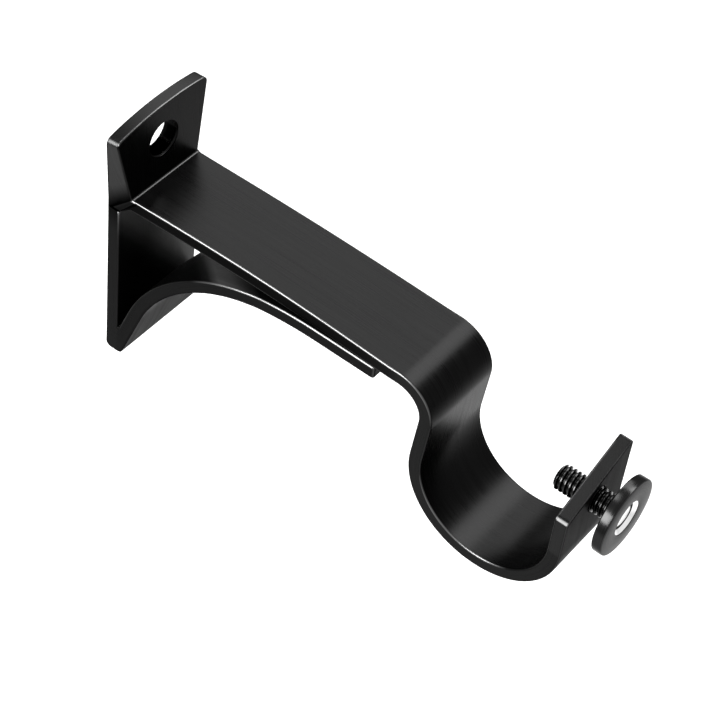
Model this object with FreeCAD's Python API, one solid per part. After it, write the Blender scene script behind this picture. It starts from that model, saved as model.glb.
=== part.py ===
import FreeCAD, Part
import math
import os

# Curtain pole bracket for a wall. One bent steel strip makes the upper wall tab, the arm, the open
# cup that carries the pole and the upright end tab. A second strip makes the lower wall plate and
# the curved brace under the arm. A screw with a disc head clamps the pole through the end tab.
# Lengths are in millimetres. X runs out from the wall, Y along the pole, Z up. The origin lies on
# the wall, in the bracket's middle plane, level with the top of the arm.

# Strip that makes the arm
strip_thickness = 3.0
arm_width = 20.0
edge_break = 0.3

# Pole seat: an open cup with its centre out from the wall, below a rounded shoulder and a short neck
pole_reach = 94.0
seat_radius = 15.0
shoulder_radius = 9.0
neck_length = 9.7
neck_lean = 4.4

# End tab, cut at a slant: its two corners stand at different heights over the pole's centre line
end_tab_low = 9.4
end_tab_high = 16.8

# Upper wall tab, wider at its crowned top than at the crease above the arm. Its far corner stands a
# little higher than its near one.
tab_height = 16.3
tab_far_rise = 0.9
tab_crown = 1.2
tab_top_width = 26.6
tab_corner_radius = 1.2
crease_reach = 4.1
shoulder_drop = 1.0

# Hole for the wall screw
wall_hole_radius = 4.2
wall_hole_height = 9.6

# Lower wall plate
plate_thickness = 3.0
plate_width = 25.0
fold_to_foot = 6.2
foot_radius = 1.2

# Brace: from the fold a straight leg leans out, two bends bring it up to the arm and its tip lies
# flat under the arm
brace_thickness = 3.0
brace_slope = 70.8
brace_leg_length = 8.0
lower_bend_radius = 38.1
upper_bend_slope = 13.1
upper_bend_radius = 80.0
brace_tip_length = 14.4
brace_taper_length = 33.5

# Clamp screw and its disc
screw_radius = 2.75
screw_clearance = 0.05
screw_height = 8.2
screw_inside = 5.7
screw_outside = 4.5
screw_tip_chamfer = 0.5
disc_radius = 8.4
disc_thickness = 2.3
disc_edge_break = 0.3
spigot_radius = 2.0
rivet_radius = 2.45
rivet_height = 0.35
dish_radius = 3.9
dish_floor_radius = 2.9
dish_depth = 0.9

# Room that cutting tools reach past the solids, and the distance under which two places are one
past = 5.0
same_place = 1e-4


def vec(x, y, z):
    return FreeCAD.Vector(x, y, z)


def line(a, b):
    return Part.LineSegment(a, b).toShape()


def on_circle(centre, radius, degrees):
    """Point of a circle that lies in the X, Z plane."""
    a = math.radians(degrees)
    return centre + vec(radius * math.cos(a), 0, radius * math.sin(a))


def arc(centre, radius, start, end):
    """Arc in the X, Z plane between two directions in degrees."""
    middle = (start + end) / 2
    points = [on_circle(centre, radius, a) for a in (start, middle, end)]
    return Part.Arc(*points).toShape()


def across(profile, width):
    """Solid of a closed X, Z profile, as wide as given and centred on the middle plane."""
    face = Part.Face(Part.Wire(Part.__sortEdges__(profile)))
    face.translate(vec(0, -width / 2, 0))
    return face.extrude(vec(0, width, 0))


def polygon(points):
    return Part.makePolygon(points + points[:1])


def edges_where(shape, test):
    return [e for e in shape.Edges if test(e.BoundBox)]


def same(a, b):
    return abs(a - b) < same_place


# Places that follow from the driving dimensions

neck_slope = vec(math.cos(math.radians(neck_lean)), 0, -math.sin(math.radians(neck_lean)))
neck_run = vec(neck_slope.z, 0, -neck_slope.x)
shoulder_to_seat = neck_slope * (shoulder_radius + seat_radius) + neck_run * neck_length
shoulder_centre = vec(pole_reach - shoulder_to_seat.x, 0, -shoulder_radius)
seat_centre = shoulder_centre + shoulder_to_seat
tab_inner_x = pole_reach + seat_radius
tab_outer_x = tab_inner_x + strip_thickness
screw_z = seat_centre.z + screw_height


def arm_strip():
    """Arm, shoulder, neck, cup and end tab: one band of even thickness, bent along its length."""
    end_z = seat_centre.z + end_tab_high
    top = [
        line(vec(0, 0, 0), vec(shoulder_centre.x, 0, 0)),
        arc(shoulder_centre, shoulder_radius, 90, -neck_lean),
        line(on_circle(shoulder_centre, shoulder_radius, -neck_lean),
             on_circle(seat_centre, seat_radius, 180 - neck_lean)),
        arc(seat_centre, seat_radius, 180 - neck_lean, 360),
        line(vec(tab_inner_x, 0, seat_centre.z), vec(tab_inner_x, 0, end_z)),
    ]
    inner_bend = shoulder_radius - strip_thickness
    outer_cup = seat_radius + strip_thickness
    under = [
        line(vec(0, 0, -strip_thickness), vec(shoulder_centre.x, 0, -strip_thickness)),
        arc(shoulder_centre, inner_bend, 90, -neck_lean),
        line(on_circle(shoulder_centre, inner_bend, -neck_lean),
             on_circle(seat_centre, outer_cup, 180 - neck_lean)),
        arc(seat_centre, outer_cup, 180 - neck_lean, 360),
        line(vec(tab_outer_x, 0, seat_centre.z), vec(tab_outer_x, 0, end_z)),
    ]
    ends = [
        line(vec(0, 0, 0), vec(0, 0, -strip_thickness)),
        line(vec(tab_inner_x, 0, end_z), vec(tab_outer_x, 0, end_z)),
    ]
    band = across(top + under + ends, arm_width).cut(slant_above_end_tab())
    half = arm_width / 2
    rim = edges_where(band, lambda b: same(b.YLength, 0) and same(abs(b.YMin), half) and b.XMax > crease_reach)
    slant = edges_where(band, lambda b: b.YLength > half and b.ZMin > seat_centre.z and b.XMin > pole_reach)
    return band.makeChamfer(edge_break, rim + slant)


def slant_above_end_tab():
    """Wedge that lies above the end tab's slanted top."""
    half = arm_width / 2
    rise = (end_tab_high - end_tab_low) / arm_width * past
    low = seat_centre.z + end_tab_low - rise
    high = seat_centre.z + end_tab_high + rise
    x = tab_inner_x - strip_thickness
    side = polygon([
        vec(x, -half - past, low),
        vec(x, half + past, high),
        vec(x, half + past, high + past),
        vec(x, -half - past, high + past),
    ])
    return Part.Face(side).extrude(vec(3 * strip_thickness, 0, 0))


def wall_section(z, reach, back_width, front_width):
    """Level section of the wall tab: a trapezium against the wall."""
    back = back_width / 2
    front = front_width / 2
    return polygon([vec(0, -back, z), vec(reach, -front, z), vec(reach, front, z), vec(0, back, z)])


def wall_tab():
    """Upper wall tab: it narrows from its crowned top to the arm's width at the crease."""
    crown_top = tab_height + tab_far_rise / 2 + tab_crown
    above_top = crown_top + past
    flare = above_top / tab_height
    sections = [
        wall_section(above_top,
                     crease_reach + (strip_thickness - crease_reach) * flare,
                     plate_width + (tab_top_width - plate_width) * flare,
                     arm_width + (tab_top_width - arm_width) * flare),
        wall_section(0, crease_reach, plate_width, arm_width),
        wall_section(-shoulder_drop, strip_thickness, plate_width, plate_width),
        wall_section(-strip_thickness, strip_thickness, plate_width, plate_width),
    ]
    tab = Part.makeLoft(sections, True, True)
    # The crown's arc runs on past both sides of the tab
    half = tab_top_width / 2
    side = half + past
    fall = tab_crown * (side / half) ** 2
    tilt = tab_far_rise / 2 * side / half
    near_z = crown_top - fall - tilt
    far_z = crown_top - fall + tilt
    crown = Part.Wire([
        Part.Arc(vec(-past, -side, near_z), vec(-past, 0, crown_top), vec(-past, side, far_z)).toShape(),
        line(vec(-past, side, far_z), vec(-past, side, above_top + past)),
        line(vec(-past, side, above_top + past), vec(-past, -side, above_top + past)),
        line(vec(-past, -side, above_top + past), vec(-past, -side, near_z)),
    ])
    tab = tab.cut(Part.Face(crown).extrude(vec(crease_reach + 2 * past, 0, 0)))
    thin = strip_thickness / 2
    corners = edges_where(tab, lambda b: b.XLength > thin > b.YLength and b.ZMin > tab_height - thin)
    tab = tab.makeFillet(tab_corner_radius, corners)
    front = edges_where(tab, lambda b: b.ZMax > shoulder_drop and b.XMin > thin)
    return tab.makeChamfer(edge_break, front)


def slab(low_x, high_x):
    """Block between two planes across X, larger than the bracket in Y and Z."""
    reach = tab_outer_x + past
    return Part.makeBox(high_x - low_x, 2 * reach, 2 * reach, vec(low_x, -reach, -reach))


def upper_strip():
    """Wall tab, arm and hook as one bent strip with its two holes."""
    body = wall_tab().fuse(arm_strip())
    wall_hole = Part.makeCylinder(wall_hole_radius, crease_reach + 2 * past,
                                  vec(-past, 0, wall_hole_height), vec(1, 0, 0))
    body = body.cut(wall_hole)
    tapped_hole = Part.makeCylinder(screw_radius + screw_clearance, 3 * strip_thickness,
                                    vec(tab_inner_x - strip_thickness, 0, screw_z), vec(1, 0, 0))
    return body.cut(tapped_hole)


def upper_strip_parts():
    """The strip as three simple lengths that meet face to face: wall tab, straight arm and hook."""
    body = upper_strip()
    bends_at = shoulder_centre.x
    return (body.common(slab(-past, crease_reach)),
            body.common(slab(crease_reach, bends_at)),
            body.common(slab(bends_at, tab_outer_x + past)))


def brace_flat_end():
    """Distance from the wall at which the brace reaches the arm's underside."""
    slope = math.radians(brace_slope)
    upper = math.radians(upper_bend_slope)
    leg = brace_leg_length * math.cos(slope)
    lower_bend = lower_bend_radius * (math.sin(slope) - math.sin(upper))
    return plate_thickness + leg + lower_bend + upper_bend_radius * math.sin(upper)


def brace_profile():
    """Side view of the lower plate and brace: one strip doubled back at the foot."""
    under_arm = -strip_thickness
    flat_end = brace_flat_end()
    tip = flat_end + brace_tip_length
    upper_centre = vec(flat_end, 0, under_arm - upper_bend_radius)
    joint = on_circle(upper_centre, upper_bend_radius, 90 + upper_bend_slope)
    lower_centre = on_circle(joint, lower_bend_radius, 270 + upper_bend_slope)
    leg_top = on_circle(lower_centre, lower_bend_radius, 90 + brace_slope)
    fold = on_circle(leg_top, brace_leg_length, 180 + brace_slope)
    plate_drop = fold_to_foot - fold.z
    upper = [
        line(vec(tip, 0, under_arm), vec(flat_end, 0, under_arm)),
        arc(upper_centre, upper_bend_radius, 90, 90 + upper_bend_slope),
        arc(lower_centre, lower_bend_radius, 90 + upper_bend_slope, 90 + brace_slope),
        line(leg_top, fold),
        line(fold, vec(plate_thickness, 0, under_arm)),
    ]
    under_upper = upper_bend_radius - brace_thickness
    under_lower = lower_bend_radius - brace_thickness
    leg_under = on_circle(lower_centre, under_lower, 90 + brace_slope)
    foot_run = (leg_under.z + plate_drop) / math.sin(math.radians(brace_slope))
    foot = on_circle(leg_under, foot_run, 180 + brace_slope)
    lower = [
        line(vec(tip, 0, under_arm), vec(tip, 0, under_arm - brace_thickness)),
        line(vec(tip, 0, under_arm - brace_thickness), vec(flat_end, 0, under_arm - brace_thickness)),
        arc(upper_centre, under_upper, 90, 90 + upper_bend_slope),
        arc(lower_centre, under_lower, 90 + upper_bend_slope, 90 + brace_slope),
        line(leg_under, foot),
        line(foot, vec(0, 0, -plate_drop)),
        line(vec(0, 0, -plate_drop), vec(0, 0, under_arm)),
        line(vec(0, 0, under_arm), vec(plate_thickness, 0, under_arm)),
    ]
    return upper + lower


def wall_plate_and_brace():
    body = across(brace_profile(), plate_width)
    foot_z = body.BoundBox.ZMin
    foot_edges = edges_where(body, lambda b: b.YLength > arm_width and same(b.ZMax, foot_z))
    body = body.makeFillet(foot_radius, foot_edges)
    # Seen from above the brace narrows from the plate's width to the arm's
    half_plate = plate_width / 2
    half_arm = arm_width / 2
    taper_end = plate_thickness + brace_taper_length
    beyond = taper_end + body.BoundBox.XLength
    top = past
    plan = polygon([
        vec(-past, -half_plate, top),
        vec(plate_thickness, -half_plate, top),
        vec(taper_end, -half_arm, top),
        vec(beyond, -half_arm, top),
        vec(beyond, half_arm, top),
        vec(taper_end, half_arm, top),
        vec(plate_thickness, half_plate, top),
        vec(-past, half_plate, top),
    ])
    column = Part.Face(plan).extrude(vec(0, 0, foot_z - 2 * past))
    return body.common(column)


def clamp_screw():
    """Round shank with a chamfered tip. Its other end goes through the disc and is riveted in the dish."""
    tip_x = tab_inner_x - screw_inside
    shoulder_x = tab_outer_x + screw_outside
    face_x = shoulder_x + disc_thickness
    outline = polygon([
        vec(tip_x, 0, 0),
        vec(tip_x, 0, screw_radius - screw_tip_chamfer),
        vec(tip_x + screw_tip_chamfer, 0, screw_radius),
        vec(shoulder_x, 0, screw_radius),
        vec(shoulder_x, 0, spigot_radius),
        vec(face_x - dish_depth, 0, spigot_radius),
        vec(face_x - dish_depth, 0, rivet_radius),
        vec(face_x + rivet_height - dish_depth, 0, 0),
    ])
    screw = Part.Face(outline).revolve(vec(0, 0, 0), vec(1, 0, 0), 360)
    screw.translate(vec(0, 0, screw_z))
    return screw


def clamp_disc():
    inner_x = tab_outer_x + screw_outside
    disc = Part.makeCylinder(disc_radius, disc_thickness, vec(inner_x, 0, screw_z), vec(1, 0, 0))
    rims = edges_where(disc, lambda b: same(b.XLength, 0))
    disc = disc.makeChamfer(disc_edge_break, rims)
    spigot_hole = Part.makeCylinder(spigot_radius, disc_thickness, vec(inner_x, 0, screw_z), vec(1, 0, 0))
    dish = Part.makeCone(dish_floor_radius, dish_radius, dish_depth,
                         vec(inner_x + disc_thickness - dish_depth, 0, screw_z), vec(1, 0, 0))
    return disc.cut(spigot_hole).cut(dish)


os.makedirs("parts", exist_ok=True)
wall_tab_part, arm_part, hook_part = upper_strip_parts()
pieces = {
    "wall_tab": wall_tab_part,
    "arm": arm_part,
    "pole_hook": hook_part,
    "wall_plate_and_brace": wall_plate_and_brace(),
    "clamp_screw": clamp_screw(),
    "clamp_disc": clamp_disc(),
}
for name, shape in pieces.items():
    print(name, shape.ShapeType, len(shape.Solids), "solid", round(shape.Volume, 1), "mm3", shape.isValid())
    shape.exportStep("parts/" + name + ".step")
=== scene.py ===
import math

import bmesh
import bpy
import numpy as np
from mathutils import Matrix, Vector


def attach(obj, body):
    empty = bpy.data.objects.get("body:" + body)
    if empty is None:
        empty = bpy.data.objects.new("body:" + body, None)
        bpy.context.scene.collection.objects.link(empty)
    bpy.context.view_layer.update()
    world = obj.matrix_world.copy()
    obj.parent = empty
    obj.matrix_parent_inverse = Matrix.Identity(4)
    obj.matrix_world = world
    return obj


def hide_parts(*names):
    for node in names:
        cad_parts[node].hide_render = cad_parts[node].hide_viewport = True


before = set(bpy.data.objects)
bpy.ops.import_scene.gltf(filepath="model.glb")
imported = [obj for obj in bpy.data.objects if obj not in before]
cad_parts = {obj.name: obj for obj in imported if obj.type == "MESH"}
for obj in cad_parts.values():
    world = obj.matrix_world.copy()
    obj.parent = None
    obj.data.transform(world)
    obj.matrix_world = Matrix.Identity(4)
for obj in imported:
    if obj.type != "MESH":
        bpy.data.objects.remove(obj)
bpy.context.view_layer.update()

# Sizes of the object in millimetres, as in the solids
THICK = 3.0
ARM_HALF = 10.0
PLATE_HALF = 12.5
TAB_HALF = 13.3
POLE_X = 94.0
SEAT_R = 15.0
SHOULDER_R = 9.0
NECK = 9.7
LEAN = math.radians(4.4)
END_LOW = 9.4
END_HIGH = 16.8
TAB_H = 16.3
FAR_RISE = 0.9
CROWN = 1.2
CREASE_X = 4.1
HOLE_R = 4.0
HOLE_Z = 9.6
SLOPE = math.radians(70.8)
BEND_LOW = 38.1
BEND_SLOPE = math.radians(13.1)
BEND_HIGH = 80.0
LEG = 8.0
FOLD_TO_FOOT = 6.2
TIP_FLAT = 14.4
TAPER_X = 36.5
SCREW_H = 8.2
SCREW_R = 2.75
DISC_R = 8.4
DISC_T = 2.3
PITCH = 1.0

EDGE = 0.3
SUPPORT = 0.12
# Painted highlight on the rounded corners of the outline, and the tone of the cut ends.
CORNER_HIGHLIGHT = 1.0
CAP_TONE = 0.2

# Painted light and shade on the sheltered faces: their colour is scaled by an openness ramp, read by the distance
# along the lower strip, which is folded at about 35 mm. The lines of equal openness run slantwise: away from the
# near edge the light reaches deeper on both sides.
SHELTER_RUN = 80.0
SHELTER_SLANT = 1.28
SHELTER_TURN = (33.0, 37.0)
SHELTER_PAINTED_SHADE = ((14.0, 0.72), (16.5, 0.58), (19.0, 0.26), (22.5, 0.05), (26.0, 0.01), (54.0, 0.005), (57.0, 0.05),
           (60.0, 0.38), (64.0, 0.28), (67.5, 0.1), (71.0, 0.01))
MM = 0.001


def arc_points(cx, cz, r, start, end, count):
    """Points on a circle in the X, Z plane, angles in radians."""
    a = np.linspace(start, end, count)
    return np.stack([cx + r * np.cos(a), cz + r * np.sin(a)], 1)


def pairs(front, back, count):
    """The same number of points along a front line and the back line that belongs to it."""
    def even(points):
        points = np.asarray(points, float)
        run = np.r_[0, np.cumsum(np.hypot(*np.diff(points, axis=0).T))]
        at = np.linspace(0, run[-1], count)
        return np.stack([np.interp(at, run, points[:, k]) for k in (0, 1)], 1)
    return even(front), even(back)


def join_pairs(parts):
    front = [parts[0][0]]
    back = [parts[0][1]]
    for f, b in parts[1:]:
        front.append(f[1:])
        back.append(b[1:])
    return np.concatenate(front), np.concatenate(back)


class Path:
    """Front and back line of a bent strip, read by the distance along the front line."""

    def __init__(self, front, back, half_front, half_back):
        self.front = front
        self.back = back
        self.run = np.r_[0, np.cumsum(np.hypot(*np.diff(front, axis=0).T))]
        self.half = (half_front(front), half_back(back))

    def read(self, s, side):
        line = (self.front, self.back)[side]
        other = (self.back, self.front)[side]
        x = np.interp(s, self.run, line[:, 0])
        z = np.interp(s, self.run, line[:, 1])
        ox = np.interp(s, self.run, other[:, 0])
        oz = np.interp(s, self.run, other[:, 1])
        gap = np.hypot(ox - x, oz - z)
        return x, z, (ox - x) / gap, (oz - z) / gap, np.interp(s, self.run, self.half[side])


def rim_steps(radius, steps):
    """Distances from an edge at which a rounded edge of this radius is drawn."""
    return [radius * (1 - math.cos(math.pi / 2 * k / steps)) for k in range(steps + 1)] + [radius + SUPPORT]


def strip(name, path, stations, start_cut, end_cut, corner, looks, edge_wear_and_highlight, rim_light_and_shade, columns=14,
          start_round=True, sink=lambda s, y: 0.0):
    """Solid bent strip with rounded edges. start_cut and end_cut give how far each end is cut back at a
    given distance across; corner holds the outline's corner radius at the start and at the end, and these
    rounded corners get a painted highlight. The near-edge function gives how bright the near edge is, partly
    rubbed wear and partly a painted highlight, and the rim function the painted light and shade on the cut
    side, both by the place along the strip; looks holds the materials of the front sheet, the back sheet and
    the rim. sink gives how far the front sheet lies below its line."""
    steps = rim_steps(EDGE, 4)
    extra = [EDGE + 0.35, EDGE + 0.75, EDGE + 1.15]
    near = np.array(steps + extra)
    inner = np.linspace(-1, 1, columns + 1)[1:-1]
    total = path.run[-1]
    first = near if start_round else np.array([0.0, 1.0])
    middle = [s for s in stations if first[-1] + 4.0 < s < total - near[-1] - 8.0]
    rows = len(first) + len(middle) + len(near)
    cols = 2 * len(near) + len(inner)
    verts = []
    uvs = []
    edges = []
    rounds = []
    for side in (0, 1):
        for i in range(rows):
            for j in range(cols):
                corner_highlight_share = 0.0
                if j < len(near):
                    across, sign, inside = near[j], -1, None
                elif j >= cols - len(near):
                    across, sign, inside = near[cols - 1 - j], 1, None
                else:
                    across, sign, inside = 99.0, 0, inner[j - len(near)]
                guess = 0.0 if i < len(first) else (middle[i - len(first)] if i < len(first) + len(middle) else total)
                half = path.read(guess, side)[4]
                y = inside * (half - near[-1]) if inside is not None else sign * (half - across)
                along = 99.0
                a = across
                if i < len(first):
                    along = first[i]
                    a, e, dist = squash_corner(across, along, corner[0]) if start_round else (across, along, across)
                    s = start_cut(y) + e
                    corner_highlight_share = corner_share(across, along, corner[0]) if start_round else 0.0
                elif i >= rows - len(near):
                    along = near[rows - 1 - i]
                    a, e, dist = squash_corner(across, along, corner[1])
                    s = total - end_cut(y) - e
                    corner_highlight_share = corner_share(across, along, corner[1])
                else:
                    s = middle[i - len(first)]
                    dist = across
                x, z, nx, nz, half = path.read(s, side)
                if inside is None:
                    y = sign * (half - a)
                depth = EDGE - math.sqrt(max(EDGE ** 2 - (EDGE - min(dist, EDGE)) ** 2, 0))
                depth += 0.0 if side else sink(s, y)
                verts.append((x + nx * depth, y, z + nz * depth))
                uvs.append((s, y))
                at_end = along <= across
                # Painted highlight, partly rubbed wear: the near edge and the ends reflect brighter, the far edge
                # does not.
                rub_and_highlight = 0.35 if at_end and i < len(first) else (0.3 if at_end and sign <= 0 else 0.0)
                if not at_end and sign < 0:
                    rub_and_highlight = edge_wear_and_highlight(s)
                edges.append(rub_and_highlight * max(0.0, 1 - dist / EDGE) ** 0.5)
                rounds.append((s, corner_highlight_share, at_end))
    size = rows * cols
    faces = []
    parts_of = []
    for side in (0, 1):
        base = side * size
        for i in range(rows - 1):
            for j in range(cols - 1):
                q = [base + i * cols + j, base + i * cols + j + 1, base + (i + 1) * cols + j + 1,
                     base + (i + 1) * cols + j]
                faces.append(q if side else q[::-1])
                parts_of.append(side)
    loop = list(range(cols))
    loop += [i * cols + cols - 1 for i in range(1, rows)]
    loop += [(rows - 1) * cols + j for j in range(cols - 2, -1, -1)]
    loop += [i * cols for i in range(rows - 2, 0, -1)]
    rings = [loop]
    for share in (0.06, 0.94):
        ring = []
        for k in loop:
            f = np.array(verts[k])
            b = np.array(verts[k + size])
            ring.append(len(verts))
            verts.append(tuple(f + (b - f) * share))
            uvs.append((uvs[k][0], uvs[k][1] + share * THICK))
            # The side rings carry the painted highlight on the outline's corners and the painted light and shade
            # along the cut side.
            s, corner_highlight_share, at_end = rounds[k]
            cap = at_end and (start_round or s > first[-1])
            edges.append(max(CORNER_HIGHLIGHT * corner_highlight_share, CAP_TONE if cap else rim_light_and_shade(s)))
        rings.append(ring)
    rings.append([k + size for k in loop])
    for ring, following in zip(rings, rings[1:]):
        for k in range(len(loop)):
            n = (k + 1) % len(loop)
            faces.append([ring[k], ring[n], following[n], following[k]])
            parts_of.append(2)
    return make_mesh(name, verts, faces, uvs, edges, parts_of, looks)


def corner_share(across, along, radius):
    """1 in the middle of a rounded corner of the outline, 0 outside it."""
    if across >= radius or along >= radius:
        return 0.0
    return max(0.0, 1 - 1.2 * abs(across - along) / radius)


def squash_corner(across, along, radius):
    """Pulls a square corner of the outline onto a quarter circle."""
    if across >= radius or along >= radius:
        return across, along, min(across, along)
    a = 1 - across / radius
    b = 1 - along / radius
    pa = a * math.sqrt(1 - b * b / 2)
    pb = b * math.sqrt(1 - a * a / 2)
    return radius * (1 - pa), radius * (1 - pb), radius * (1 - math.hypot(pa, pb))


def make_mesh(name, verts, faces, uvs, edges, parts_of=None, materials=()):
    mesh = bpy.data.meshes.new(name)
    mesh.from_pydata([(x * MM, y * MM, z * MM) for x, y, z in verts], [], faces)
    mesh.update()
    layer = mesh.uv_layers.new(name="strip")
    for loop in mesh.loops:
        layer.data[loop.index].uv = (uvs[loop.vertex_index][0], uvs[loop.vertex_index][1])
    rim = mesh.attributes.new("edge", "FLOAT", "POINT")
    rim.data.foreach_set("value", edges)
    for mat in materials:
        mesh.materials.append(mat)
    if parts_of:
        mesh.polygons.foreach_set("material_index", parts_of)
    for p in mesh.polygons:
        p.use_smooth = True
    obj = bpy.data.objects.new(name, mesh)
    bpy.context.scene.collection.objects.link(obj)
    fix_normals(obj)
    return obj


def fix_normals(obj):
    """Turns the faces outward."""
    bm = bmesh.new()
    bm.from_mesh(obj.data)
    bmesh.ops.recalc_face_normals(bm, faces=bm.faces)
    bm.to_mesh(obj.data)
    bm.free()


# Materials

def nodes_of(name):
    mat = bpy.data.materials.new(name)
    mat.use_nodes = True
    tree = mat.node_tree
    tree.nodes.clear()
    out = tree.nodes.new("ShaderNodeOutputMaterial")
    bsdf = tree.nodes.new("ShaderNodeBsdfPrincipled")
    tree.links.new(bsdf.outputs["BSDF"], out.inputs["Surface"])
    return mat, tree, bsdf


def add(tree, kind, **values):
    node = tree.nodes.new(kind)
    for key, value in values.items():
        if hasattr(node, key) and not key[0].isupper():
            setattr(node, key, value)
        else:
            node.inputs[key.replace("_", " ")].default_value = value
    return node


def stretched_noise(tree, uv, along, across, detail):
    """Noise drawn out along the strip, in the strip's own millimetres."""
    scale = tree.nodes.new("ShaderNodeMapping")
    scale.inputs["Scale"].default_value = (along, across, 1.0)
    tree.links.new(uv.outputs["UV"], scale.inputs["Vector"])
    noise = tree.nodes.new("ShaderNodeTexNoise")
    noise.noise_dimensions = "2D"
    noise.inputs["Scale"].default_value = 1.0
    noise.inputs["Detail"].default_value = detail
    tree.links.new(scale.outputs["Vector"], noise.inputs["Vector"])
    return noise


def map_range(tree, source, low, high, to_low, to_high):
    node = tree.nodes.new("ShaderNodeMapRange")
    node.inputs["From Min"].default_value = low
    node.inputs["From Max"].default_value = high
    node.inputs["To Min"].default_value = to_low
    node.inputs["To Max"].default_value = to_high
    tree.links.new(source, node.inputs["Value"])
    return node.outputs["Result"]


def black_metal(name, dark=0.0050, edge=0.055, rough=0.30, graze=0.8, grain=0.35):
    """Black satin steel: a dark reflection with grain along the strip, brighter where the edge attribute is set: on
    burnished edges, as painted highlights, and as the painted light and shade of the cut sides.
    """
    mat, tree, bsdf = nodes_of(name)
    link = tree.links.new
    uv = tree.nodes.new("ShaderNodeUVMap")
    uv.uv_map = "strip"
    fine = stretched_noise(tree, uv, 0.05, 5.0, 3.0)
    broad = stretched_noise(tree, uv, 0.02, 0.8, 2.0)
    mix = tree.nodes.new("ShaderNodeMath")
    mix.operation = "MULTIPLY_ADD"
    mix.inputs[1].default_value = 0.5
    link(broad.outputs["Fac"], mix.inputs[0])
    link(fine.outputs["Fac"], mix.inputs[2])
    rim = tree.nodes.new("ShaderNodeAttribute")
    rim.attribute_name = "edge"
    plain = map_range(tree, mix.outputs[0], 0.5, 1.0, 1 - grain, 1 + grain)
    level = map_range(tree, rim.outputs["Fac"], 0.0, 1.0, dark, edge)
    tone = tree.nodes.new("ShaderNodeMath")
    tone.operation = "MULTIPLY"
    link(plain, tone.inputs[0])
    link(level, tone.inputs[1])
    colour = tree.nodes.new("ShaderNodeCombineColor")
    for k in range(3):
        link(tone.outputs[0], colour.inputs[k])
    link(colour.outputs[0], bsdf.inputs["Base Color"])
    bsdf.inputs["Metallic"].default_value = 1.0
    bsdf.inputs["Specular Tint"].default_value = (graze, graze, graze, 1)
    link(map_range(tree, mix.outputs[0], 0.5, 1.0, rough - 0.04, rough + 0.06), bsdf.inputs["Roughness"])
    bump = tree.nodes.new("ShaderNodeBump")
    bump.inputs["Strength"].default_value = 0.15 * grain
    bump.inputs["Distance"].default_value = 0.00002
    link(fine.outputs["Fac"], bump.inputs["Height"])
    link(bump.outputs["Normal"], bsdf.inputs["Normal"])
    return mat


def black_paint(name, dark, bright):
    """Black satin that also scatters: the sheltered faces under the arm, with painted light and shade from the
    openness ramp. Edges shine with an added bright colour, partly burnished and partly a painted highlight.
    """
    mat, tree, bsdf = nodes_of(name)
    link = tree.links.new
    uv = tree.nodes.new("ShaderNodeUVMap")
    uv.uv_map = "strip"
    fine = stretched_noise(tree, uv, 0.05, 5.0, 3.0)
    rim = tree.nodes.new("ShaderNodeAttribute")
    rim.attribute_name = "edge"
    grain = map_range(tree, fine.outputs["Fac"], 0.3, 0.7, dark * 0.9, dark * 1.1)
    place_s = tree.nodes.new("ShaderNodeSeparateXYZ")
    link(uv.outputs["UV"], place_s.inputs[0])
    open_s = tree.nodes.new("ShaderNodeValToRGB")
    ramp = open_s.color_ramp
    ramp.elements[0].position = 0.0
    ramp.elements[0].color = (0.75, 0.75, 0.75, 1)
    ramp.elements[1].position = 1.0
    ramp.elements[1].color = (0.01, 0.01, 0.01, 1)
    for at, level in SHELTER_PAINTED_SHADE:
        step = ramp.elements.new(at / SHELTER_RUN)
        step.color = (level, level, level, 1)
    slant = tree.nodes.new("ShaderNodeMath")
    slant.operation = "MULTIPLY_ADD"
    link(map_range(tree, place_s.outputs["X"], *SHELTER_TURN, -SHELTER_SLANT, SHELTER_SLANT), slant.inputs[0])
    link(place_s.outputs["Y"], slant.inputs[1])
    link(place_s.outputs["X"], slant.inputs[2])
    link(map_range(tree, slant.outputs[0], 0.0, SHELTER_RUN, 0.0, 1.0), open_s.inputs["Fac"])
    # Painted light and shade: the colour is scaled by the openness ramp.
    painted_shade = tree.nodes.new("ShaderNodeMath")
    painted_shade.operation = "MULTIPLY"
    link(grain, painted_shade.inputs[0])
    link(open_s.outputs["Color"], painted_shade.inputs[1])
    plain = painted_shade.outputs[0]
    # Painted highlight, partly burnished: a bright colour is added on the edges.
    shine = map_range(tree, rim.outputs["Fac"], 0.0, 1.0, 0.0, bright)
    tone = tree.nodes.new("ShaderNodeMath")
    tone.operation = "ADD"
    link(plain, tone.inputs[0])
    link(shine, tone.inputs[1])
    colour = tree.nodes.new("ShaderNodeCombineColor")
    for k in range(3):
        link(tone.outputs[0], colour.inputs[k])
    link(colour.outputs[0], bsdf.inputs["Base Color"])
    link(map_range(tree, rim.outputs["Fac"], 0.0, 0.4, 0.0, 1.0), bsdf.inputs["Metallic"])
    bsdf.inputs["Specular IOR Level"].default_value = 0.05
    link(map_range(tree, fine.outputs["Fac"], 0.3, 0.7, 0.32, 0.4), bsdf.inputs["Roughness"])
    return mat


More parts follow.
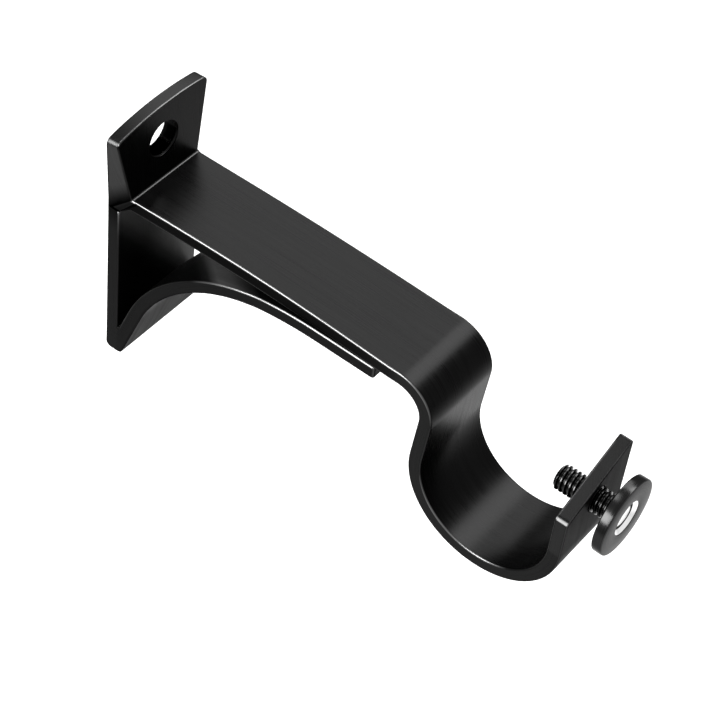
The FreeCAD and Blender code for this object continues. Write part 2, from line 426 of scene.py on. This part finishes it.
def bright_steel(name):
    mat, tree, bsdf = nodes_of(name)
    link = tree.links.new
    uv = add(tree, "ShaderNodeUVMap", uv_map="strip")
    scale = add(tree, "ShaderNodeMapping")
    scale.inputs["Scale"].default_value = (0.3, 6.0, 1.0)
    link(uv.outputs["UV"], scale.inputs["Vector"])
    noise = add(tree, "ShaderNodeTexNoise", noise_dimensions="2D")
    noise.inputs["Scale"].default_value = 1.0
    link(scale.outputs["Vector"], noise.inputs["Vector"])
    tone = add(tree, "ShaderNodeMapRange")
    tone.inputs["To Min"].default_value = 0.72
    tone.inputs["To Max"].default_value = 0.88
    link(noise.outputs["Fac"], tone.inputs["Value"])
    colour = add(tree, "ShaderNodeCombineColor")
    for k in range(3):
        link(tone.outputs["Result"], colour.inputs[k])
    link(colour.outputs[0], bsdf.inputs["Base Color"])
    bsdf.inputs["Metallic"].default_value = 1.0
    bsdf.inputs["Roughness"].default_value = 0.3
    return mat


# strip_rim is a darker copy of the black steel for the cut sides and brace_back a darker copy of strip_back for the
# brace's back sheet: painted shade.
strip_front = black_metal("strip_front", edge=0.11, graze=0.68, grain=0.19)
strip_back = black_metal("strip_back", dark=0.024, edge=0.024, rough=0.42, graze=0.43, grain=0.12)
strip_rim = black_metal("strip_rim", dark=0.0005, edge=0.036, graze=0.57, grain=0.12)
brace_back = black_metal("brace_back", dark=0.01, edge=0.01, rough=0.42, graze=0.415, grain=0.12)
hole_wall = black_metal("hole_wall", dark=0.008, edge=0.3, graze=0.5, grain=0.1)
brace_front = black_paint("brace_front", 0.062, 0.16)
screw_black = black_metal("screw_black", dark=0.004, edge=0.03, rough=0.22, grain=0.2)
disc_black = black_metal("disc_black", dark=0.006, edge=0.045, rough=0.19, graze=0.54, grain=0.15)
steel = bright_steel("bare_steel")


# Upper strip, from the top of the wall tab to the top of the end tab

slope = np.array([math.cos(LEAN), -math.sin(LEAN)])
drop = np.array([-math.sin(LEAN), -math.cos(LEAN)])
shoulder_to_seat = slope * (SHOULDER_R + SEAT_R) + drop * NECK
shoulder = np.array([POLE_X - shoulder_to_seat[0], -SHOULDER_R])
seat = shoulder + shoulder_to_seat
inner_x = POLE_X + SEAT_R
outer_x = inner_x + THICK
screw_z = seat[1] + SCREW_H
crown_top = TAB_H + FAR_RISE / 2 + CROWN

FILLET = 0.45
CREASE_HIGHLIGHT = 0.12


def tab_front(z):
    return CREASE_X + (THICK - CREASE_X) * z / TAB_H


tab_lean = math.atan2(CREASE_X - THICK, TAB_H)
touch = FILLET * math.tan((math.pi / 2 - tab_lean) / 2)
fillet_x = CREASE_X + touch
fillet = arc_points(fillet_x, FILLET, FILLET, math.pi + tab_lean, 1.5 * math.pi, 7)
arm_front = [(tab_front(crown_top), crown_top), tuple(fillet[0])]
parts = [
    pairs(arm_front, [(0, crown_top), (0, -2.3)], 30),
    pairs(fillet, [(0, -2.3), (0, -THICK), (0.8, -THICK)], 9),
    pairs([(fillet_x, 0), (9, 0)], [(0.8, -THICK), (9, -THICK)], 14),
    pairs([(9, 0), (shoulder[0], 0)], [(9, -THICK), (shoulder[0], -THICK)], 40),
    pairs(arc_points(*shoulder, SHOULDER_R, math.pi / 2, -LEAN, 40),
          arc_points(*shoulder, SHOULDER_R - THICK, math.pi / 2, -LEAN, 40), 40),
    pairs([shoulder + slope * SHOULDER_R, seat - slope * SEAT_R],
          [shoulder + slope * (SHOULDER_R - THICK), seat - slope * (SEAT_R + THICK)], 12),
    pairs(arc_points(*seat, SEAT_R, math.pi - LEAN, 2 * math.pi, 90),
          arc_points(*seat, SEAT_R + THICK, math.pi - LEAN, 2 * math.pi, 90), 90),
    pairs([(inner_x, seat[1]), (inner_x, seat[1] + END_HIGH)],
          [(outer_x, seat[1]), (outer_x, seat[1] + END_HIGH)], 20),
]
front, back = join_pairs(parts)


def arm_half_front(points):
    z = points[:, 1]
    tab = ARM_HALF + (TAB_HALF - ARM_HALF) * np.clip(z, 0, None) / TAB_H
    return np.where(points[:, 0] < CREASE_X + 0.5, tab, ARM_HALF)


def arm_half_back(points):
    x = points[:, 0]
    tab = PLATE_HALF + (TAB_HALF - PLATE_HALF) * np.clip(points[:, 1], 0, None) / TAB_H
    return np.where(x < 0.01, tab, np.interp(x, [0, 2.6, 3.0], [PLATE_HALF, PLATE_HALF, ARM_HALF]))


arm_path = Path(front, back, arm_half_front, arm_half_back)


def tab_crown_cut(y):
    return CROWN * (y / TAB_HALF) ** 2 - FAR_RISE / 2 * y / TAB_HALF


def end_slant_cut(y):
    return (END_HIGH - END_LOW) * (ARM_HALF - y) / (2 * ARM_HALF)


arm_stations = []
run = 0.0
while run < arm_path.run[-1]:
    arm_stations.append(run)
    x = float(np.interp(run, arm_path.run, front[:, 0]))
    z = float(np.interp(run, arm_path.run, front[:, 1]))
    near_crease = x < 5.2 and z < 1.2
    straight = 6 < x < shoulder[0] - 0.5 and z > -0.01
    run += 0.07 if near_crease else (2.5 if straight else (0.8 if x < 6 else 0.6))


def place(path, s):
    return float(np.interp(s, path.run, path.front[:, 0])), float(np.interp(s, path.run, path.front[:, 1]))


def arm_wear_and_highlight(s):
    """Painted highlight on the near edge, partly rubbed wear: bright along the arm and over the shoulder, and again
    low in the cup.
    """
    x, z = place(arm_path, s)
    if x < CREASE_X + 0.2 and z > 0.1:
        return 0.0
    if x < seat[0] - SEAT_R + 4 and z > -SHOULDER_R:
        return float(np.interp(z, [-SHOULDER_R, -3.0, 0.0], [0.0, 0.8, 1.0]))
    turn = math.degrees(math.atan2(z - seat[1], x - seat[0])) % 360
    return float(np.interp(turn, [190, 225, 280, 300], [0.05, 0.9, 0.9, 0.0]))


# Painted light and shade on the cut side: lighter up the wall tab, a little lighter toward the shoulder, lighter in
# the cup and end tab.
def arm_rim_light_and_shade(s):
    x, z = place(arm_path, s)
    if x < CREASE_X + 0.2:
        return float(np.interp(z, [0.2, 1.5, 5.0], [0.0, 0.08, 0.68]))
    if x < shoulder[0]:
        return float(np.interp(x, [60, shoulder[0]], [0.0, 0.1]))
    return 0.2 if x < inner_x - 1.0 or z < seat[1] else 0.34


arm = strip("bracket_arm", arm_path, arm_stations, tab_crown_cut, end_slant_cut, (1.3, 0.9),
            (strip_front, strip_back, strip_rim), arm_wear_and_highlight, arm_rim_light_and_shade)


# The rounding in the crease gets a little brighter reflection: a painted highlight
edge_shine_values = arm.data.attributes["edge"].data
for vertex, edge_shine in zip(arm.data.vertices, edge_shine_values):
    x, z = vertex.co.x / MM, vertex.co.z / MM
    if CREASE_X - 0.1 < x < fillet_x + 0.05 and 0 < z < FILLET and edge_shine.value < CREASE_HIGHLIGHT:
        edge_shine.value = CREASE_HIGHLIGHT

# The arm bows slightly toward its far side and is a little narrower in the middle
BOW_END = 68.0
ARM_BOW = 0.62
ARM_NARROW = 0.018
for vertex in arm.data.vertices:
    x, y = vertex.co.x / MM, vertex.co.y / MM
    if CREASE_X < x < BOW_END:
        bow = math.sin(math.pi * (x - CREASE_X) / (BOW_END - CREASE_X))
        vertex.co.y += MM * bow * (ARM_BOW - ARM_NARROW * y)


def lathe(name, profile, count, burnish_and_highlight=None):
    """Round body about the screw's axis, from (x, radius) pairs."""
    verts = []
    uvs = []
    faces = []
    edges = []
    run = 0.0
    last = profile[0]
    for x, r in profile:
        run += math.hypot(x - last[0], r - last[1])
        last = (x, r)
        for k in range(count):
            a = 2 * math.pi * k / count
            verts.append((x, r * math.cos(a), screw_z + r * math.sin(a)))
            uvs.append((a * 8.0, run))
            edges.append(float(burnish_and_highlight(r, math.degrees(a))) if burnish_and_highlight else 0.0)
    for i in range(len(profile) - 1):
        for k in range(count):
            n = (k + 1) % count
            faces.append([i * count + k, i * count + n, (i + 1) * count + n, (i + 1) * count + k])
    obj = make_mesh(name, verts, faces, uvs, edges)
    bm = bmesh.new()
    bm.from_mesh(obj.data)
    bmesh.ops.remove_doubles(bm, verts=bm.verts, dist=1e-8)
    bmesh.ops.recalc_face_normals(bm, faces=bm.faces)
    bm.to_mesh(obj.data)
    bm.free()
    return obj


def cut(obj, cutter, axis_z):
    """Cuts a round hole with its axis along X and at this height out of a mesh for good."""
    mod = obj.modifiers.new("cut", "BOOLEAN")
    mod.operation = "DIFFERENCE"
    mod.solver = "EXACT"
    mod.object = cutter
    mod.material_mode = "TRANSFER"
    cutter.data.materials.append(hole_wall)
    keep = obj.modifiers.new("flat", "WEIGHTED_NORMAL")
    keep.mode = "FACE_AREA"
    keep.weight = 98
    graph = bpy.context.evaluated_depsgraph_get()
    mesh = bpy.data.meshes.new_from_object(obj.evaluated_get(graph))
    obj.modifiers.clear()
    obj.data = mesh
    bpy.data.objects.remove(cutter)
    wall = Vector((math.cos(tab_lean), 0, math.sin(tab_lean)))
    normals = [tuple(n.vector) for n in mesh.corner_normals]
    for face in mesh.polygons:
        if abs(face.normal.dot(wall)) > 0.9999 or abs(face.normal.x) > 0.9999:
            for k in face.loop_indices:
                normals[k] = tuple(face.normal)
        elif abs(face.normal.x) < 0.05 and mesh.materials[face.material_index] == hole_wall:
            for k in face.loop_indices:
                at = mesh.vertices[mesh.loops[k].vertex_index].co
                normals[k] = tuple(-Vector((0, at.y, at.z - axis_z * MM)).normalized())
    mesh.normals_split_custom_set(normals)


def hole_cutter(radius, z, front_x, back_x, rim, count=96):
    """Round cutter along X whose front end flares, so that it leaves a rounded front rim."""
    steps = 5
    profile = [(back_x - 4, 0), (back_x - 4, radius)]
    for k in range(steps, -1, -1):
        a = math.pi / 2 * k / steps
        profile.append((front_x - rim * math.sin(a), radius + rim * (1 - math.cos(math.pi / 2 - a))))
    profile += [(front_x + 4, radius + rim), (front_x + 4, 0)]
    # The lower right arc of the front rim gets a brighter reflection: a painted highlight.
    obj = lathe("cutter", profile, count, burnish_and_highlight=lambda r, a: r > radius + 0.02 and 250 < a < 335)
    obj.location.z = (z - screw_z) * MM
    bpy.context.view_layer.update()
    return obj


cut(arm, hole_cutter(HOLE_R, HOLE_Z, tab_front(HOLE_Z), 0.0, 0.28), HOLE_Z)
cut(arm, hole_cutter(SCREW_R + 0.15, screw_z, outer_x, inner_x, 0.2), screw_z)

# Lower plate and brace: one strip, folded at the foot

def turned(angle):
    return np.array([math.cos(angle), math.sin(angle)])


low_reach = BEND_LOW * (math.sin(SLOPE) - math.sin(BEND_SLOPE))
flat_end = THICK + LEG * math.cos(SLOPE) + low_reach + BEND_HIGH * math.sin(BEND_SLOPE)
tip_end = flat_end + TIP_FLAT
high_c = np.array([flat_end, -THICK - BEND_HIGH])
low_c = high_c + (BEND_HIGH - BEND_LOW) * turned(math.pi / 2 + BEND_SLOPE)
leg_top = low_c + BEND_LOW * turned(math.pi / 2 + SLOPE)
leg_under = low_c + (BEND_LOW - THICK) * turned(math.pi / 2 + SLOPE)
leg = turned(SLOPE)
apex = leg_top - leg * LEG
plate_drop = FOLD_TO_FOOT - apex[1]
foot_run = (leg_under[1] + plate_drop) / math.sin(SLOPE)
foot = leg_under - leg * foot_run

FOLD = 0.28
FAR_SHARE = (0.965, 0.88)
FAR_SINK = 0.075
half_angle = (math.pi / 2 - SLOPE) / 2
fold_reach = FOLD / math.tan(half_angle)
fold_centre = np.array([THICK + FOLD, apex[1] + fold_reach])
fold_arc = arc_points(*fold_centre, FOLD, math.pi, 2 * math.pi - 2 * half_angle, 9)
leg_start = fold_arc[-1]
toe = arc_points(1.2, 1.2 - plate_drop, 1.2, math.pi, 1.5 * math.pi, 8)
HEEL = 0.8
PLATE_TOP = -2.3
heel_touch = HEEL * math.tan(SLOPE / 2)
heel = arc_points(foot[0] - heel_touch, HEEL - plate_drop, HEEL, 1.5 * math.pi, 1.5 * math.pi + SLOPE, 8)
under_start = leg_start + (THICK * np.array([math.sin(SLOPE), -math.cos(SLOPE)]))
parts = [
    pairs([(THICK, PLATE_TOP), tuple(fold_arc[0])], [(0, PLATE_TOP), (0, fold_arc[0][1] - 1.0)], 40),
    pairs(fold_arc, [(0, fold_arc[0][1] - 1.0)] + [tuple(p) for p in toe] + [tuple(p) for p in heel]
          + [tuple(under_start)], 60),
    pairs([leg_start, leg_top], [under_start, leg_under], 14),
    pairs(arc_points(*low_c, BEND_LOW, math.pi / 2 + SLOPE, math.pi / 2 + BEND_SLOPE, 70),
          arc_points(*low_c, BEND_LOW - THICK, math.pi / 2 + SLOPE, math.pi / 2 + BEND_SLOPE, 70), 70),
    pairs(arc_points(*high_c, BEND_HIGH, math.pi / 2 + BEND_SLOPE, math.pi / 2, 30),
          arc_points(*high_c, BEND_HIGH - THICK, math.pi / 2 + BEND_SLOPE, math.pi / 2, 30), 30),
    pairs([(flat_end, -THICK), (tip_end, -THICK)], [(flat_end, -2 * THICK), (tip_end, -2 * THICK)], 12),
]
front, back = join_pairs(parts)


def brace_half(points):
    return np.interp(points[:, 0], [0, THICK, 9, TAPER_X, tip_end],
                     [PLATE_HALF, PLATE_HALF, PLATE_HALF - 0.7, ARM_HALF, ARM_HALF])


brace_path = Path(front, back, brace_half, brace_half)
brace_stations = []
run = 0.0
while run < brace_path.run[-1]:
    brace_stations.append(run)
    x = float(np.interp(run, brace_path.run, front[:, 0]))
    z = float(np.interp(run, brace_path.run, front[:, 1]))
    near_fold = z < fold_arc[0][1] + 0.3
    run += 0.03 if near_fold else 0.9


# Painted highlight on the brace's near edge, partly rubbed wear, from about 21 mm out.
def brace_wear_and_highlight(s):
    return float(np.interp(place(brace_path, s)[0], [21, 27, 34], [0.0, 0.3, 1.0]))


# Painted shade: the cut side is darkest at the top of the plate, under the arm, and lighter from about 5 mm down.
def brace_rim_light_and_shade(s):
    return float(np.interp(s, [1.0, 5.0], [0.0, 0.12]))


def brace_sink(s, y):
    """The inner face lies a little lower toward its far edge, over the bends only."""
    return float(np.interp(place(brace_path, s)[0], [4.5, 7, 20, 38], [0, 1, 1, 0])) * FAR_SINK * max(0.0, y + 1)


brace = strip("bracket_plate_and_brace", brace_path, brace_stations, lambda y: 0.0, lambda y: 0.0, (0.5, 0.6),
              (brace_front, brace_back, strip_rim), brace_wear_and_highlight, brace_rim_light_and_shade, start_round=False,
              sink=brace_sink)
for vertex in brace.data.vertices:
    if vertex.co.y > 0:
        vertex.co.y *= float(np.interp(vertex.co.x / MM, [THICK, 5.0], FAR_SHARE))
brace.modifiers.new("flat", "WEIGHTED_NORMAL").weight = 60

# Screw with a real helical thread

tip_x = inner_x - 5.7
disc_in = outer_x + 4.5
disc_out = disc_in + DISC_T


def thread_height(phase):
    t = abs(phase - math.floor(phase) - 0.5) * 2
    t = min(max((t - 0.25) / 0.5, 0), 1)
    return 1 - t * t * (3 - 2 * t)


def screw_mesh():
    per_turn = 20
    around = 64
    deep = 0.5
    rows = int((disc_in - 0.25 - tip_x) / PITCH * per_turn)
    verts = []
    uvs = []
    edges = []
    faces = []
    for ring_r in (0.0, 1.0, 1.75, 1.95):
        for k in range(around):
            a = 2 * math.pi * k / around
            verts.append((tip_x, ring_r * math.cos(a), screw_z + ring_r * math.sin(a)))
            uvs.append((ring_r, a))
            edges.append(0.0)
    for i in range(rows + 1):
        x = tip_x + 0.05 + i * PITCH / per_turn
        for k in range(around):
            a = 2 * math.pi * k / around
            h = thread_height(x / PITCH - a / (2 * math.pi))
            r = SCREW_R - 0.03 - deep * (1 - h)
            r = min(r, 2.02 + (x - tip_x) * 1.1)
            verts.append((x, r * math.cos(a), screw_z + r * math.sin(a)))
            uvs.append((x, a * SCREW_R))
            # Thread crests reflect more, partly rubbed crests and partly a painted highlight; outside the end tab,
            # between tab and disc, they get only 0.3 of it as painted shade.
            edges.append(max(0.0, h - 0.3) * (1.0 if x < outer_x else 0.3))
    for x, ring_r in ((disc_in - 0.05, 2.2), (disc_in + 0.3, 2.2), (disc_in + 0.3, 0.0)):
        for k in range(around):
            a = 2 * math.pi * k / around
            verts.append((x, ring_r * math.cos(a), screw_z + ring_r * math.sin(a)))
            uvs.append((x, a * SCREW_R))
            edges.append(0.0)
    total = len(verts) // around
    for i in range(total - 1):
        for k in range(around):
            n = (k + 1) % around
            faces.append([i * around + k, i * around + n, (i + 1) * around + n, (i + 1) * around + k])
    return make_mesh("screw_thread", verts, faces, uvs, edges)


screw = screw_mesh()


def rounded(points, radius, steps=4):
    """Rounds the inner corners of an (x, radius) outline."""
    out = [points[0]]
    for a, b, c in zip(points, points[1:], points[2:]):
        a, b, c = (np.array(p, float) for p in (a, b, c))
        r = min(radius, 0.45 * np.linalg.norm(a - b), 0.45 * np.linalg.norm(c - b))
        p = b + (a - b) / np.linalg.norm(a - b) * r
        q = b + (c - b) / np.linalg.norm(c - b) * r
        for k in range(steps + 1):
            t = k / steps
            out.append(tuple((1 - t) ** 2 * p + 2 * t * (1 - t) * b + t * t * q))
    out.append(points[-1])
    return out


DISC_EDGE = 0.3
DISC_SIDE_TONE = 0.2
DISH_R = 3.9
DISH_FLOOR_R = 2.9
DISH = 0.9
STUD_R = 2.35
STUD_H = 0.15
disc_profile = [(disc_in, 0.0)] + rounded([
    (disc_in, 2.0),
    (disc_in, DISC_R),
    (disc_out, DISC_R),
    (disc_out, DISH_R),
    (disc_out - 0.1, DISH_R - 0.11),
], DISC_EDGE) + [(disc_out - 0.1, DISH_R - 0.11)]
disc = lathe("clamp_disc_body", disc_profile, 128,
             burnish_and_highlight=lambda r, a: DISC_SIDE_TONE if r > DISC_R - 0.02 else float(r > DISC_R - DISC_EDGE))
dish_foot = (disc_out - DISH + 0.12, DISH_FLOOR_R + 0.13)
bowl = lathe("clamp_disc_bowl", [(disc_out - 0.1, DISH_R - 0.11), dish_foot], 128)
# Painted shadow: the floor of the dish between the bowl and the stud end is black, a dark ring around the stud.
shadow_ring_profile = [dish_foot, (disc_out - DISH + 0.03, DISH_FLOOR_R + 0.04),
               (disc_out - DISH, DISH_FLOOR_R - 0.1), (disc_out - DISH, STUD_R - 0.3)]
gap = lathe("clamp_disc_shadow_ring", shadow_ring_profile, 128)
stud_profile = [(disc_out - DISH - 0.1, 0.0), (disc_out - DISH - 0.1, STUD_R)]
for k in range(9):
    a = math.pi / 2 * k / 8
    stud_profile.append((disc_out - DISH + STUD_H * 0.6 * math.sin(a), STUD_R - 0.25 * (1 - math.cos(a))))
stud_profile += [(disc_out - DISH + STUD_H * 0.85, 1.2), (disc_out - DISH + STUD_H, 0.0)]
stud = lathe("screw_stud_end", stud_profile, 96)


for obj, mat, body, slot in (
    (arm, None, "bracket", "black_steel"),
    (brace, None, "bracket", "black_steel"),
    (screw, screw_black, "clamp", "screw_steel"),
    (disc, disc_black, "clamp", "black_steel"),
    (bowl, steel, "clamp", "black_steel"),
    (gap, hole_wall, "clamp", "black_steel"),
    (stud, steel, "clamp", "screw_steel"),
):
    if mat:
        obj.data.materials.clear()
        obj.data.materials.append(mat)
    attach(obj, body)
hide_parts("wall_tab", "arm", "pole_hook")
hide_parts("wall_plate_and_brace")
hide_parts("clamp_screw")
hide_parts("clamp_screw")
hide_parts("clamp_disc")
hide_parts("clamp_disc")
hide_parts("clamp_disc")


# Floor and light

def pale_background(tree, plain, white):
    """White for rays from the camera, from mirrors and through glass; the plain shader for the rest."""
    path = tree.nodes.new("ShaderNodeLightPath")
    one = tree.nodes.new("ShaderNodeMath")
    one.operation = "MAXIMUM"
    two = tree.nodes.new("ShaderNodeMath")
    two.operation = "MAXIMUM"
    tree.links.new(path.outputs["Is Camera Ray"], one.inputs[0])
    tree.links.new(path.outputs["Is Glossy Ray"], one.inputs[1])
    tree.links.new(one.outputs[0], two.inputs[0])
    tree.links.new(path.outputs["Is Transmission Ray"], two.inputs[1])
    mix = tree.nodes.new("ShaderNodeMixShader")
    tree.links.new(two.outputs[0], mix.inputs[0])
    tree.links.new(plain.outputs[0], mix.inputs[1])
    tree.links.new(white.outputs[0], mix.inputs[2])
    return mix


world = bpy.data.worlds.new("studio")
bpy.context.scene.world = world
world.use_nodes = True
tree = world.node_tree
tree.nodes.clear()
dim = tree.nodes.new("ShaderNodeBackground")
dim.inputs["Color"].default_value = (0.62, 0.62, 0.62, 1)
white = tree.nodes.new("ShaderNodeBackground")
white.inputs["Color"].default_value = (1, 1, 1, 1)
result = pale_background(tree, dim, white)
world_out = tree.nodes.new("ShaderNodeOutputWorld")
tree.links.new(result.outputs[0], world_out.inputs["Surface"])

bpy.ops.mesh.primitive_plane_add(size=6, location=(0, 0, -0.35))
floor = bpy.context.object
floor.name = "floor"
floor_mat = bpy.data.materials.new("pale_floor")
floor_mat.use_nodes = True
tree = floor_mat.node_tree
tree.nodes.clear()
paint = tree.nodes.new("ShaderNodeBsdfDiffuse")
paint.inputs["Color"].default_value = (0.5, 0.5, 0.5, 1)
glow = tree.nodes.new("ShaderNodeEmission")
glow.inputs["Color"].default_value = (1, 1, 1, 1)
glow.inputs["Strength"].default_value = 0.4
both = tree.nodes.new("ShaderNodeAddShader")
tree.links.new(paint.outputs[0], both.inputs[0])
tree.links.new(glow.outputs[0], both.inputs[1])
result = pale_background(tree, paint, both)
floor_out = tree.nodes.new("ShaderNodeOutputMaterial")
tree.links.new(result.outputs[0], floor_out.inputs["Surface"])
floor.data.materials.append(floor_mat)

aim = Vector((0.058, 0, -0.018))


def softbox(name, direction, distance, width, height, radiance):
    data = bpy.data.lights.new(name, "AREA")
    data.shape = "RECTANGLE"
    data.size = width
    data.size_y = height
    data.energy = radiance * math.pi * width * height
    obj = bpy.data.objects.new(name, data)
    bpy.context.scene.collection.objects.link(obj)
    d = Vector(direction).normalized()
    obj.location = aim + d * distance
    obj.rotation_euler = d.to_track_quat("Z", "Y").to_euler()
    obj.visible_camera = False


softbox("overhead", (-0.36, -0.08, 0.93), 0.8, 0.26, 0.26, 13)
softbox("near_left", (-0.31, -0.85, 0.40), 0.8, 0.44, 0.38, 36)
softbox("far_above", (0.16, 0.565, 0.81), 0.8, 0.44, 0.32, 20)
softbox("far_left", (-0.40, 0.60, 0.69), 0.8, 0.50, 0.44, 8.5)

# Camera

AZ = math.radians(-57.541)
EL = math.radians(47.982)
ROLL = math.radians(7.708)
DISTANCE = 0.4575
TARGET = np.array([0.055725, 0.0, -0.016195])
back_dir = np.array([math.cos(EL) * math.cos(AZ), math.cos(EL) * math.sin(AZ), math.sin(EL)])
right = np.cross([0, 0, 1.0], back_dir)
right /= np.linalg.norm(right)
up = np.cross(back_dir, right)
c, s = math.cos(ROLL), math.sin(ROLL)
r2 = c * right + s * up
u2 = -s * right + c * up
eye = TARGET + back_dir * DISTANCE
cam_data = bpy.data.cameras.new("camera")
cam_data.sensor_width = 36.0
cam_data.lens = 115.985
cam_data.clip_start = 0.01
cam = bpy.data.objects.new("camera", cam_data)
bpy.context.scene.collection.objects.link(cam)
cam.matrix_world = Matrix((
    (r2[0], u2[0], back_dir[0], eye[0]),
    (r2[1], u2[1], back_dir[1], eye[1]),
    (r2[2], u2[2], back_dir[2], eye[2]),
    (0, 0, 0, 1),
))
bpy.context.scene.camera = cam
bpy.context.scene.view_settings.view_transform = "Standard"
